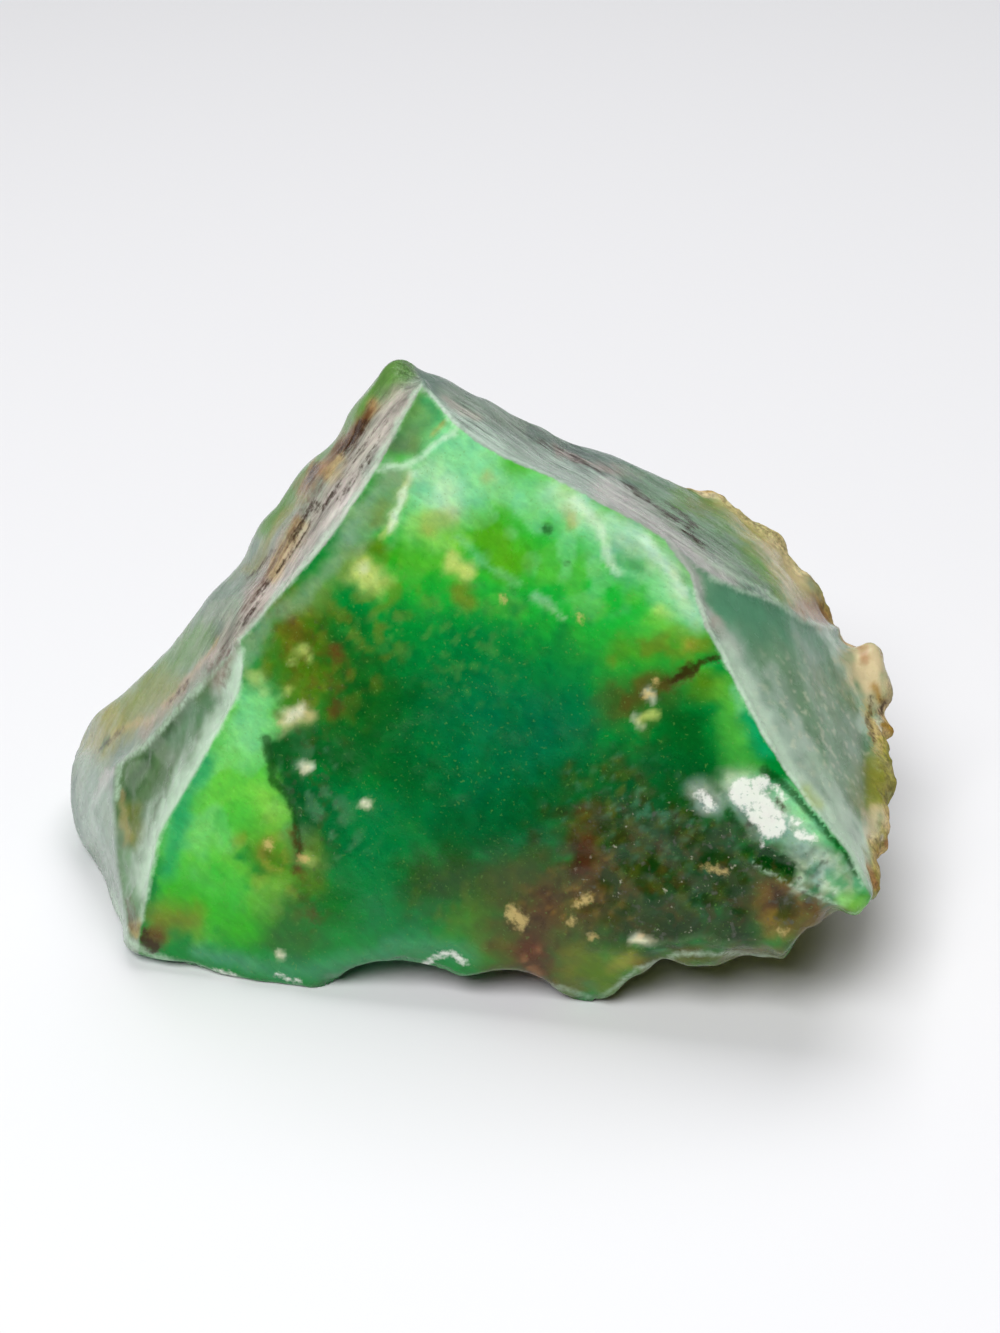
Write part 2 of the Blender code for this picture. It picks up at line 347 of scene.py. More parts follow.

# Colours of the front: colour, radius in pixels, strength and points. Then the softness of the
# edge where it isn't PLAIN_SOFTNESS, and for a clouded mark, the size of its clouds in
# millimetres and the share that they cover.
# Some of these marks are painted light: glow, sheen and highlights, as said below.
FRONT = [
    ("green", 2000, 1.0, [(480, 680)], 0.1),
    # the thin top: painted glow, brighter greens and mints where light comes through, over its
    # stains
    ("spring green", 110, 0.75, [(480, 480), (610, 560)], 0.6),
    ("leaf green", 34, 0.7, [(400, 560), (500, 545)], 0.7),
    ("vivid green", 52, 0.9, [(560, 566), (610, 612), (660, 640)], 0.8),
    ("vivid green", 36, 0.6, [(450, 600), (540, 610)], 0.8),
    ("vivid green", 90, 0.45, [(450, 560), (620, 600)], 0.6, 1.6, 0.45),
    ("lime", 70, 0.25, [(460, 530), (600, 570)], 0.6, 1.5, 0.3),
    ("mint", 34, 0.95, [(448, 444), (470, 452), (430, 500)], 0.7),
    ("mint", 18, 0.7, [(480, 480), (540, 500), (600, 536)]),
    ("pale mint", 14, 0.45, [(430, 476), (450, 500)]),
    ("mint", 60, 0.4, [(460, 490), (600, 540)], 0.6, 1.1, 0.35),
    ("sea green", 16, 0.6, [(624, 545), (640, 570)], 0.8),
    ("leaf olive", 20, 0.75, [(488, 536), (512, 562)]),
    ("lime", 13, 0.7, [(418, 530), (455, 540)]),
    ("ochre", 7, 0.4, [(489, 478)]),
    ("ochre", 6, 0.5, [(569, 514), (570, 524)]),
    ("ochre", 8, 0.35, [(428, 526), (450, 518)]),
    ("mint", 16, 0.7, [(660, 592), (690, 612)], 0.8),
    ("pale mint", 14, 0.45, [(560, 494), (620, 528), (668, 562), (700, 618)]),
    ("straw", 6, 0.5, [(662, 612)]),
    ("lime", 16, 0.5, [(660, 626), (690, 636)]),
    ("olive green", 15, 0.55, [(624, 650), (700, 645)]),
    ("olive", 17, 0.5, [(620, 650), (700, 645)], 0.9, 0.8, 0.3),
    ("yellow olive", 7, 0.5, [(690, 645)]),
    # painted highlights: the next two thin pale mint lines run along the crests of the small ledges
    ("pale mint", 4.5, 0.6, [(572, 504), (590, 512), (600, 530), (608, 552), (620, 574)], 0.8),
    ("pale mint", 4.5, 0.6, [(644, 540), (664, 564), (686, 590)], 0.8),
    ("mint", 3.5, 0.4, [(624, 574), (650, 588), (668, 597)]),
    ("pale mint", 3, 0.35, [(534, 597), (548, 608), (562, 619)]),
    ("mint", 3.5, 0.35, [(454, 536), (480, 556), (520, 584)]),
    # the thick heart
    ("teal", 84, 0.95, [(470, 706), (480, 800)], 0.6),
    ("blue teal", 50, 0.4, [(480, 690), (500, 760)]),
    ("teal", 46, 0.8, [(560, 690), (560, 760)], 0.7),
    ("blue teal", 44, 0.7, [(545, 730), (540, 800)], 0.8),
    ("deep teal", 44, 0.8, [(470, 830), (520, 850)], 0.8),
    ("deep green", 32, 0.7, [(390, 700), (360, 740), (400, 770)], 0.8),
    ("deep green", 110, 0.28, [(440, 720), (460, 840)], 0.6, 1.8, 0.4),
    ("teal", 26, 0.7, [(335, 800), (372, 810)], 0.8),
    ("teal", 40, 0.8, [(360, 850), (400, 910)], 0.8),
    ("forest", 30, 0.8, [(430, 884), (520, 880)], 0.8),
    ("dark olive", 30, 0.6, [(440, 886), (530, 880)]),
    ("green", 36, 0.5, [(440, 640), (560, 650)]),
    # the stained upper left
    ("forest", 38, 0.8, [(310, 640), (350, 690)], 0.8),
    ("deep green", 36, 0.6, [(330, 640), (350, 700)], 0.8, 0.9, 0.45),
    ("olive green", 28, 0.8, [(290, 630), (300, 690)], 0.8),
    ("olive", 42, 0.4, [(286, 630), (310, 690), (380, 600)], 0.7, 0.7, 0.25),
    ("fern", 46, 0.22, [(390, 610), (440, 620), (470, 640)], 0.8, 0.45, 0.2),
    ("brown", 32, 0.4, [(288, 625), (325, 680)], 0.7, 0.5, 0.2),
    ("olive", 14, 0.5, [(290, 602), (320, 596)]),
    ("straw", 13, 0.95, [(356, 568), (376, 580)], 0.8),
    ("cream", 5, 0.5, [(366, 570)]),
    ("olive green", 7, 0.9, [(342, 566), (352, 552), (380, 546)]),
    ("straw", 9, 0.85, [(450, 562), (466, 568)], 0.8),
    ("olive", 8, 0.7, [(456, 586), (470, 602)]),
    ("brown", 9, 0.6, [(290, 622), (296, 634)]),
    ("brown", 7, 0.6, [(332, 650), (336, 658)]),
    ("brown", 5, 0.4, [(338, 702), (334, 710)]),
    ("straw", 6, 0.85, [(299, 649)]),
    ("straw", 4.5, 0.6, [(309, 657)]),
    ("straw", 4, 0.6, [(290, 663)]),
    ("straw", 4, 0.6, [(286, 692)]),
    ("straw", 7, 0.6, [(256, 680)]),
    ("straw", 5, 0.7, [(263, 694)]),
    ("straw", 6, 0.5, [(252, 704)]),
    ("pale olive", 10, 0.9, [(282, 722), (300, 716)], 0.8),
    ("cream", 6, 0.8, [(288, 716), (298, 712)]),
    ("pale olive", 5, 0.8, [(310, 717)]),
    ("pale olive", 5, 0.7, [(278, 732)]),
    # the window on the left, bright with painted glow where light comes through, and the dark line
    # beside it
    ("spring green", 48, 1.0, [(222, 740), (208, 800), (196, 860), (210, 886)], 0.35),
    ("spring green", 26, 1.0, [(248, 716), (250, 780), (262, 830)], 0.35),
    ("vivid green", 26, 0.5, [(190, 880), (240, 900)]),
    ("mint", 60, 0.3, [(200, 800), (240, 760)], 0.4, 1.8, 0.45),
    ("vivid green", 60, 0.35, [(200, 800), (220, 880)], 0.4, 1.6, 0.4),
    ("emerald", 11, 0.75, [(205, 760), (178, 820), (166, 870)]),
    ("mint", 16, 0.6, [(256, 700), (250, 740)]),
    ("lime", 14, 0.6, [(268, 800), (282, 836)]),
    ("olive green", 22, 0.75, [(264, 850), (284, 884)]),
    ("yellow olive", 24, 0.4, [(262, 860), (286, 890)], 0.9, 0.8, 0.35),
    ("lime", 15, 0.6, [(276, 890), (262, 905)]),
    ("brown", 7, 0.4, [(264, 855)]),
    ("deep green", 11, 0.95, [(280, 745), (290, 772), (302, 800), (310, 826)], 0.5),
    ("deep green", 20, 0.8, [(300, 745), (340, 760)], 0.8),
    ("deep teal", 20, 0.6, [(308, 790), (330, 830), (320, 860)]),
    ("sage", 34, 0.3, [(310, 780), (330, 830)], 0.8, 0.6, 0.25),
    ("moss", 12, 0.6, [(300, 836), (314, 862)]),
    ("olive green", 14, 0.6, [(312, 850), (314, 880)]),
    ("red brown", 16, 0.5, [(294, 850), (304, 890), (312, 914)], 0.8, 0.5, 0.25),
    # bottom left
    ("forest", 24, 0.6, [(270, 925), (330, 905)]),
    ("dull olive", 16, 0.35, [(262, 930), (300, 946)]),
    ("leaf green", 22, 0.8, [(180, 904), (240, 925)]),
    ("olive", 15, 0.85, [(158, 918), (188, 922)]),
    ("brown", 9, 0.7, [(156, 934), (150, 942)]),
    ("sea green", 12, 0.4, [(270, 972), (330, 968), (400, 948), (470, 952)]),
    ("sea green", 8, 0.6, [(200, 952), (250, 968)]),
    ("dull olive", 26, 0.6, [(520, 884), (560, 896)]),
    ("olive green", 26, 0.6, [(480, 920), (504, 954)], 0.8),
    ("dull olive", 20, 0.5, [(500, 925), (512, 955)]),
    ("olive", 24, 0.2, [(440, 904), (530, 890)], 0.9, 0.5, 0.2),
    # the right: stain, and the green under it
    ("dull olive", 22, 0.8, [(620, 700), (662, 690)]),
    ("brown", 9, 0.4, [(626, 704), (650, 684)]),
    ("brown", 24, 0.3, [(626, 700), (650, 730)], 0.9, 0.6, 0.3),
    ("olive green", 12, 0.8, [(700, 684), (716, 690)]),
    ("deep green", 30, 0.9, [(680, 730), (700, 760)], 0.8),
    ("deep teal", 30, 0.9, [(640, 780), (690, 790)], 0.8),
    ("spring green", 13, 0.6, [(728, 690), (738, 730)]),
    ("mint", 6, 0.5, [(736, 690), (744, 712)]),
    ("green", 18, 0.7, [(724, 740), (740, 770)]),
    ("emerald", 9, 0.8, [(752, 720), (766, 752)]),
    # the speckled ground on the right
    ("deep green", 40, 0.8, [(560, 800), (620, 790), (700, 800)], 0.8),
    ("dark olive", 56, 0.95, [(630, 850), (700, 875), (650, 905)], 0.5),
    ("deep teal", 60, 0.8, [(630, 830), (710, 870)], 0.6, 1.5, 0.35),
    ("dull olive", 60, 0.7, [(620, 830), (710, 890)], 0.6, 1.0, 0.3),
    ("slate green", 22, 0.5, [(700, 890), (640, 925)]),
    ("slate green", 10, 0.7, [(620, 800), (650, 822), (672, 850)]),
    ("dark green", 20, 0.6, [(700, 835), (742, 850)]),
    ("dark brown", 60, 0.5, [(600, 850), (740, 900)], 0.5, 0.7, 0.2),
    ("olive", 56, 0.3, [(620, 830), (700, 880)], 0.5, 0.5, 0.18),
    ("sea green", 56, 0.3, [(620, 820), (720, 880)], 0.6, 0.4, 0.12),
    ("dark olive", 20, 0.8, [(734, 884), (756, 904)]),
    ("olive brown", 24, 0.95, [(774, 896), (806, 904), (834, 908)], 0.7),
    ("olive brown", 20, 0.9, [(776, 928), (806, 910)], 0.8),
    ("brown", 16, 0.7, [(776, 888), (820, 902)], 0.8),
    ("dark brown", 22, 0.7, [(768, 886), (790, 896)], 0.8, 0.6, 0.35),
    ("ochre", 8, 0.25, [(768, 916), (772, 932)]),
    ("dark olive", 14, 0.8, [(736, 926), (746, 948)]),
    ("dark olive", 18, 0.8, [(610, 912), (640, 926), (700, 930), (724, 922)]),
    ("dark olive", 30, 0.45, [(620, 850), (660, 890), (700, 860)]),
    ("cream", 6, 0.95, [(634, 937), (645, 940)], 0.8),
    ("grey mint", 17, 0.6, [(740, 786), (764, 816), (800, 840)], 0.8),
    ("pale mint", 8, 0.5, [(780, 804), (800, 826), (812, 846)], 0.8),
    ("pale mint", 5, 0.5, [(728, 782), (744, 778)]),
    ("grey mint", 9, 0.5, [(700, 790), (716, 806)]),
    ("pale tan", 3.5, 0.9, [(640, 934)]),
    ("dull olive", 34, 0.7, [(520, 900), (600, 890), (560, 940)]),
    ("brown", 14, 0.5, [(590, 816), (584, 866)]),
    ("brown", 28, 0.6, [(590, 890), (546, 916), (520, 950)]),
    ("purple brown", 15, 0.6, [(548, 902), (536, 934)]),
    ("dark brown", 34, 0.5, [(590, 880), (540, 930)], 0.8, 0.5, 0.3),
    ("ochre", 30, 0.25, [(560, 900), (600, 895)], 0.8, 0.4, 0.15),
    ("dark brown", 9, 0.9, [(582, 852), (578, 868)], 0.8),
    ("dull olive", 18, 0.8, [(590, 950), (570, 978)]),
    ("olive", 16, 0.5, [(590, 968), (560, 984)]),
    ("red brown", 14, 0.85, [(528, 954), (544, 970)]),
    ("orange brown", 3.5, 0.6, [(524, 956)]),
    ("orange brown", 3.5, 0.6, [(540, 952)]),
    ("orange brown", 3, 0.5, [(534, 966), (542, 972)]),
    ("olive", 18, 0.6, [(578, 966), (612, 982)]),
    ("olive green", 16, 0.8, [(596, 972), (626, 962)]),
    ("yellow olive", 9, 0.6, [(616, 964), (630, 962)]),
    ("moss", 4, 0.4, [(650, 944), (700, 938), (750, 948)]),
    # the glassy facet at the right corner: painted sheen in its grey sage and mint, over its greens
    ("grey sage", 20, 0.95, [(800, 856), (842, 886)], 0.7),
    ("grey mint", 12, 0.5, [(802, 852), (822, 868)]),
    ("pale mint", 18, 0.6, [(810, 870), (846, 890)], 0.6, 0.5, 0.35),
    ("emerald", 18, 0.5, [(812, 880), (856, 894)], 0.6, 0.5, 0.35),
    ("lime", 8, 0.7, [(848, 902), (864, 904)]),
    ("dark green", 12, 1.0, [(769, 859), (785, 867)], 0.35),
    ("olive brown", 9, 0.7, [(640, 966), (700, 960), (776, 956)]),
    # pale spots
    ("cream", 5, 0.9, [(308, 767)]),
    ("cream", 4.5, 0.9, [(367, 801)]),
    ("straw", 7, 0.6, [(306, 857)]),
    ("cream", 4, 0.9, [(279, 955)]),
    ("cream", 3.5, 0.5, [(646, 692), (650, 704)]),
    ("cream", 3.5, 0.5, [(634, 718), (640, 730)]),
    ("straw", 4, 0.7, [(640, 722), (652, 716)]),
    ("mint", 10, 0.8, [(786, 796), (802, 814), (818, 834)]),
    ("spring green", 15, 0.4, [(736, 744), (744, 766)]),
    # the small facets under the crown, with painted highlights in the thin lines along the crest
    ("cap green", 16, 0.95, [(426, 404), (404, 440)], 0.6),
    ("moss", 10, 0.85, [(394, 448), (416, 442)], 0.8),
    ("emerald", 6, 0.5, [(426, 404), (440, 418)]),
    ("ochre", 3, 0.5, [(430, 432), (444, 420)]),
    ("grey sage", 10, 0.6, [(266, 622), (252, 646), (246, 668)]),
    ("grey sage", 15, 0.9, [(396, 484), (372, 512), (350, 540)]),
    ("cap green", 9, 0.7, [(394, 494), (366, 530)]),
    ("olive", 5, 0.4, [(388, 506), (376, 522)]),
    ("fern", 13, 0.6, [(344, 562), (312, 594)]),
    ("grey sage", 7, 0.5, [(340, 556), (310, 586), (280, 612)]),
    # painted highlights along the bevel's crest
    ("straw", 4, 0.6, [(410, 480), (398, 510), (386, 536)]),
    ("pale mint", 3, 0.5, [(414, 474), (402, 500), (392, 528)]),
    ("pale mint", 3, 0.5, [(404, 492), (392, 524)]),
]

# Colours of the other faces, and for each mark the same as above. Their pale bands along ridges,
# rims and outlines are painted sheen and highlights.
SIDES = {
    "left": [
        ("grey green", 2000, 1.0, [(300, 500)], 0.1),
        ("dim grey green", 70, 0.6, [(250, 540), (130, 690), (90, 800)], 0.8, 1.8, 0.45),
        ("fern", 15, 0.95, [(396, 366), (380, 388), (366, 408)], 0.6),
        ("moss", 9, 0.7, [(398, 368), (380, 392)]),
        ("fern", 8, 0.8, [
            (392, 368), (370, 396), (348, 426), (322, 452), (298, 480), (280, 508), (262, 532),
        ]),
        # painted sheen: pale grey and pink grey bands along the ridge
        ("pale grey", 13, 0.5, [(410, 404), (380, 452), (348, 497)], 0.8),
        ("pale grey", 16, 0.75, [(348, 497), (322, 535), (290, 572), (262, 604)], 0.7),
        ("pink grey", 14, 0.6, [
            (400, 402), (370, 446), (336, 490), (308, 528), (280, 562), (258, 592),
        ]),
        ("orange brown", 6, 0.7, [(376, 408), (360, 428), (344, 448), (324, 472)]),
        ("brown", 5, 0.7, [(368, 418), (354, 438), (338, 454)]),
        ("tan", 5, 0.7, [(342, 462), (328, 478)]),
        ("orange brown", 6, 0.7, [(320, 466), (302, 490)]),
        ("brown", 3.5, 0.6, [(318, 470), (306, 486), (298, 500)]),
        ("yellow olive", 5, 0.5, [(300, 496), (272, 536), (250, 572)]),
        ("brown", 3, 0.5, [(301, 520), (290, 538), (268, 578), (260, 588)]),
        ("tan", 6, 0.5, [(300, 524), (288, 548), (276, 572)]),
        # painted sheen, on down the ridge
        ("pink grey", 12, 0.6, [(262, 600), (238, 630), (214, 655)]),
        ("fern", 14, 0.7, [(204, 632), (168, 668), (140, 696), (110, 716)]),
        ("yellow olive", 20, 0.5, [(160, 690), (120, 720)]),
        ("tan", 2.5, 0.5, [(220, 638), (190, 676), (160, 708)]),
        ("tan", 4, 0.5, [(150, 722), (126, 728), (110, 740)]),
        # painted sheen along the border
        ("pink grey", 5, 0.6, [(214, 650), (176, 696), (140, 735)]),
        ("yellow olive", 14, 0.8, [(108, 718), (96, 744)]),
        ("moss", 2, 0.8, [(112, 736), (100, 750)]),
        # painted sheen on the lower part, with a painted highlight streak beside the border
        ("grey mint", 12, 0.6, [(90, 765), (84, 800), (92, 836)], 0.8),
        ("pale grey", 5, 0.7, [(128, 764), (104, 778), (98, 800)]),
        ("grey mint", 9, 0.6, [(100, 800), (106, 850), (120, 900), (128, 935)], 0.8),
        ("dim grey green", 4, 0.7, [(74, 740), (70, 785), (78, 836)], 0.8),
    ],
    "cut": [
        ("moss", 2000, 1.0, [(150, 780)], 0.1),
        ("slate green", 6, 0.6, [(190, 704), (140, 770), (124, 800)]),
        ("grey green", 50, 0.35, [(190, 710), (130, 860)], 0.8, 1.2, 0.35),
        ("pink grey", 9, 0.7, [(230, 662), (220, 684)]),
        ("sage", 9, 0.5, [(206, 700), (180, 740)]),
        ("olive", 8, 0.7, [(132, 812), (136, 842)]),
        ("tan", 4, 0.35, [(121, 796), (120, 828), (128, 842)]),
        ("grey sage", 9, 0.8, [(128, 862), (132, 902)]),
        # painted glow and highlight along the rim
        ("grey mint", 17, 0.5, [(244, 680), (212, 743), (179, 800), (158, 836), (149, 880)]),
        ("pale mint", 12, 0.95, [(244, 672), (212, 743), (179, 800), (158, 836), (149, 880)]),
        ("tan", 5, 0.6, [(134, 922), (136, 936)]),
    ],
    "top": [
        ("dim grey green", 2000, 1.0, [(600, 460)], 0.1),
        ("storm green", 60, 0.45, [(560, 445), (740, 550)], 0.8, 0.9, 0.35),
        ("grey green", 10, 0.6, [(450, 395), (520, 428), (560, 446)]),
        # painted sheen along the ridge
        ("grey mint", 15, 0.9, [(448, 414), (480, 438), (510, 452), (560, 470), (605, 494)], 0.7),
        ("pale grey", 12, 0.8, [(605, 492), (650, 522), (690, 552), (726, 578)], 0.8),
        ("storm green", 5, 0.7, [(530, 432), (580, 456), (604, 470)]),
        ("pink grey", 4, 0.6, [(560, 450), (600, 466), (640, 478)]),
        ("pink grey", 4, 0.5, [(446, 402), (474, 418)]),
        ("grey sage", 16, 0.7, [(650, 490), (700, 525), (750, 570)]),
        ("sage", 10, 0.5, [(630, 472), (670, 488)]),
        ("fern", 8, 0.95, [(680, 496), (712, 510), (732, 524)]),
        ("olive", 3, 0.5, [(690, 504), (724, 520)]),
        ("fern", 12, 0.9, [(730, 520), (752, 540), (770, 574), (784, 596)]),
        ("yellow olive", 9, 0.8, [(744, 518), (766, 542), (786, 574)]),
        ("tan", 7, 0.6, [(790, 580), (812, 610)]),
        ("pale grey", 4, 0.7, [(712, 494), (742, 508)]),
    ],
    "right": [
        ("sage", 2000, 1.0, [(800, 700)], 0.1),
        ("sea green", 26, 0.6, [(730, 600), (800, 640)], 0.8),
        ("moss", 40, 0.3, [(820, 660), (860, 800)], 0.8, 1.2, 0.35),
        ("grey sage", 26, 0.6, [(782, 664), (814, 724), (836, 784)]),
        ("moss", 8, 0.4, [(850, 700), (862, 750), (868, 800)]),
        # painted highlights along the ridge and the outline
        ("pale grey", 6, 0.7, [(676, 552), (697, 590), (712, 628)]),
        ("pink grey", 5, 0.6, [(716, 622), (734, 652)]),
        ("pale mint", 4, 0.6, [(826, 632), (838, 656), (847, 676)]),
        ("pale mint", 3.5, 0.6, [(846, 676), (860, 706), (866, 728)]),
        ("olive", 14, 0.5, [(862, 776), (868, 806)]),
        # painted glow and highlights: the pale mint band along the ridge and its bright rim
        ("grey mint", 16, 0.7, [(724, 646), (766, 720), (812, 786), (846, 830)]),
        ("pale mint", 8, 0.9, [
            (722, 652), (740, 682), (760, 722), (780, 756), (806, 790), (836, 826), (862, 866),
        ]),
        ("pale mint", 7, 0.6, [(798, 727), (818, 762), (832, 789), (848, 820)]),
        ("grey mint", 7, 0.5, [(770, 670), (790, 712), (806, 744)]),
        ("straw", 7, 0.6, [(806, 790), (812, 806)]),
        ("cream", 40, 0.4, [(800, 700), (850, 760)], 0.8, 0.4, 0.08),
        # painted highlight on the outline
        ("pale mint", 12, 0.9, [(868, 836), (874, 880)]),
    ],
}

# Colours laid over stone and crust alike.
OVER = [
    ("pale tan", 20, 0.95, [(866, 658), (872, 682)], 0.6),
    ("ochre", 4, 0.8, [(876, 690), (882, 702)]),
    ("orange brown", 4, 0.7, [(862, 652), (866, 660)]),
    ("orange brown", 9, 0.7, [(806, 600), (826, 616)]),
    ("pale olive", 13, 0.8, [(724, 500), (752, 520), (778, 552), (798, 586)], 0.8),
    ("pale tan", 8, 0.5, [(774, 550), (796, 580)]),
    ("yellow olive", 12, 0.8, [(882, 762), (880, 800)]),
    ("olive", 9, 0.5, [(878, 768), (876, 792)]),
    ("pale tan", 7, 0.7, [(880, 812), (876, 836)]),
    ("olive brown", 9, 0.7, [(640, 966), (700, 960), (776, 956)]),
]

# Crisp marks by kind and face: radius and points in pixels.
CRISP = {
    "white": {
        # the white patch, part of its white a painted glint of the wet surface
        "front": [
            (13, [(743, 791), (757, 806), (772, 826)]), (7, [(738, 788), (762, 783)]),
            (3.5, [(798, 834), (812, 840)]), (2.5, [(774, 788), (784, 800)]),
            (2.5, [(790, 818), (796, 824)]), (2, [(762, 845)]), (4, [(702, 795), (713, 806)]),
        ],
        # painted highlights on the lip and its glassy scallop
        "seen": [
            (1.4, [(214, 971), (233, 978)]), (1.6, [(274, 975), (298, 983)]),
            (2.4, [(426, 966), (438, 957), (452, 954), (466, 964)]),
        ],
    },
    "tan": {
        "front": [
            (7, [(512, 914), (522, 922)]), (4, [(572, 920)]), (4, [(578, 904), (588, 898)]),
            (4, [(592, 936)]), (4, [(646, 694)]), (3, [(656, 682)]), (5, [(268, 845)]),
            (3, [(503, 599)]), (2.5, [(578, 618)]), (4, [(782, 932)]),
            (2.5, [(300, 856), (306, 858)]), (2.5, [(704, 868), (724, 874)]),
        ],
        "seen": [
            (4, [(866, 708), (872, 728), (880, 748)]),
        ],
    },
    "dark": {
        "front": [
            (5, [(680, 676), (696, 667)]), (3.2, [(672, 681), (696, 668), (708, 662), (724, 657)]),
            (5, [(140, 938), (154, 948)]), (2, [(138, 928), (146, 934)]),
            (2, [(776, 800), (784, 812)]), (1.6, [(770, 818), (776, 826)]),
        ],
        "left": [
            (0.8, [(100, 750), (124, 729)]), (2.5, [(366, 422), (356, 438), (342, 454)]),
            (2.0, [(318, 464), (308, 482)]), (1.4, [(316, 500), (303, 522), (292, 545)]),
            (1.2, [(275, 550), (260, 566), (246, 580)]),
            (1.2, [(270, 580), (256, 604), (240, 624)]),
            (0.5, [(322, 500), (300, 538), (276, 572)]),
            (0.5, [(388, 424), (364, 466), (340, 500)]),
            (0.5, [(376, 430), (350, 470), (322, 508)]),
        ],
        "seen": [
            (1.0, [(188, 680), (168, 704)]), (1.6, [(872, 700), (868, 720), (876, 740)]),
            (1.6, [(884, 700), (880, 716)]),
        ],
        "top": [
            (1.5, [(540, 441), (562, 452)]), (1.5, [(574, 456), (596, 470)]),
            (1.5, [(622, 484), (648, 502)]), (1.5, [(654, 506), (676, 522)]),
            (1.5, [(664, 500), (694, 526)]), (1.6, [(686, 530), (704, 548)]),
        ],
    },
    "brown": {
        "front": [
            (7, [(664, 686), (690, 672)]), (7, [(146, 934), (158, 942)]),
            (5, [(333, 652), (336, 660)]), (4, [(338, 704), (334, 712)]),
            (3, [(310, 912), (313, 918)]), (4, [(292, 830), (300, 856)]),
            (3, [(296, 868), (300, 880)]), (7, [(588, 838), (584, 868)]),
            (5, [(534, 950), (550, 960)]),
        ],
        "left": [
            (4.0, [(372, 410), (350, 444), (332, 462)]),
            (2.0, [(330, 470), (306, 506), (290, 536)]),
            (2.0, [(284, 548), (262, 582), (246, 608)]),
        ],
        "seen": [
            (2.2, [(212, 664), (207, 680)]), (2.2, [(220, 660), (216, 676)]),
            (2.2, [(229, 654), (226, 668)]), (2.2, [(226, 676), (222, 686)]),
            (2.4, [(812, 602), (826, 618)]),
        ],
        "cut": [
            (4.5, [(126, 902), (132, 926)]),
        ],
    },
    "deep": {
        "front": [
            (5, [(546, 529)]), (3, [(566, 563)]),
            (4.5, [(266, 736), (272, 757), (272, 779), (284, 792)]),
            (4, [(284, 792), (290, 805), (296, 820), (299, 850)]),
            (4.5, [(763, 770), (801, 802), (820, 825), (843, 847), (855, 872)]),
            (4, [(744, 850), (760, 846)]), (4, [(730, 812), (742, 834)]),
        ],
    },
    "pale": {
        # painted highlights: bright lines along ridges, rims, crests and the lip
        "seen": [
            (2.0, [
                (418, 388), (400, 420), (384, 450), (375, 468), (339, 521), (312, 554),
                (275, 598), (240, 640),
            ]),
            (2.0, [(422, 386), (440, 408), (456, 426)]),
            (2.8, [(456, 432), (436, 442), (422, 456), (404, 468), (378, 471)]),
            (2.4, [(242, 650), (240, 690), (212, 741), (200, 760)]),
            (2.0, [(200, 760), (166, 818), (154, 850), (149, 880), (140, 920)]),
            (1.8, [(226, 660), (188, 698), (149, 743), (118, 766), (115, 800)]),
            (2.2, [(112, 890), (128, 940), (156, 956), (214, 974), (240, 982)]),
            (2.0, [(695, 590), (709, 625), (729, 666), (750, 707), (770, 741)]),
            (2.0, [(791, 775), (818, 816), (846, 847), (863, 885)]),
            (1.5, [(710, 577), (743, 591), (777, 604), (806, 621), (832, 628)]),
            (0.8, [(752, 864), (779, 878), (809, 893), (836, 904)]),
            (1.3, [(520, 984), (560, 986), (590, 998)]),
            (1.3, [(605, 994), (620, 984), (636, 970), (680, 955), (740, 954), (778, 960)]),
        ],
        # painted highlight along the side ridge
        "top": [
            (1.6, [(709, 560), (743, 580), (777, 600)]),
        ],
    },
}


def linear(display):
    """A display colour as the light values that a shader takes."""
    return np.array([(value / 255.0) ** 2.2 for value in display])


def smooth(values, start, end):
    """0 at start to 1 at end, eased at both."""
    share = np.clip((values - start) / (end - start), 0.0, 1.0)
    return share * share * (3.0 - 2.0 * share)


def between(values, limits):
    """1 between the inner two of four limits, 0 beyond the outer two."""
    low, low_full, high_full, high = limits
    return smooth(values, low, low_full) * (1.0 - smooth(values, high_full, high))


def line_distance(u, v, points):
    """Distance from each place to a line through points, or to a single point."""
    best = np.hypot(u - points[0][0], v - points[0][1])
    for (u0, v0), (u1, v1) in zip(points[:-1], points[1:]):
        if (u0, v0) == (u1, v1):
            continue
        run, rise = u1 - u0, v1 - v0
        share = np.clip(((u - u0) * run + (v - v0) * rise) / (run * run + rise * rise), 0.0, 1.0)
        best = np.minimum(best, np.hypot(u - u0 - share * run, v - v0 - share * rise))
    return best


def run_distance(places, points):
    """Distance in space from each place to a line through points."""
    best = np.full(len(places), np.inf)
    for start, end in zip(points[:-1], points[1:]):
        start, along = np.array(start), np.array(end) - np.array(start)
        share = np.clip((places - start) @ along / (along @ along), 0.0, 1.0)
        best = np.minimum(best, np.linalg.norm(places - start - share[:, None] * along, axis=1))
    return best


def depth_inside(u, v, corners):
    """How far inside a polygon each place is; outside it is below zero."""
    within = np.zeros(len(u), bool)
    for (u0, v0), (u1, v1) in zip(corners, corners[1:] + corners[:1]):
        if v0 != v1:
            across = (v0 > v) != (v1 > v)
            within ^= across & (u < (u1 - u0) * (v - v0) / (v1 - v0) + u0)
    distance = line_distance(u, v, corners + corners[:1])
    return np.where(within, distance, -distance)


def noise_at(places, spacing, shift=0.0):
    """One layer of noise over places in millimetres, about -1 to 1."""
    move = Vector((shift, shift, shift))
    return np.array([noise.noise(Vector(place) / spacing + move) for place in places])


def vector_noise_at(places, spacing, shift=0.0):
    """Three layers of noise at once, one for each axis."""
    move = Vector((shift, shift, shift))
    return np.array([noise.noise_vector(Vector(place) / spacing + move) for place in places])


def drawn_out(places, grain, stretch):
    """Places squeezed along a grain, so that noise over them runs with it."""
    along = places @ np.array(grain)
    return places - np.outer(along * (1.0 - 1.0 / stretch), np.array(grain))


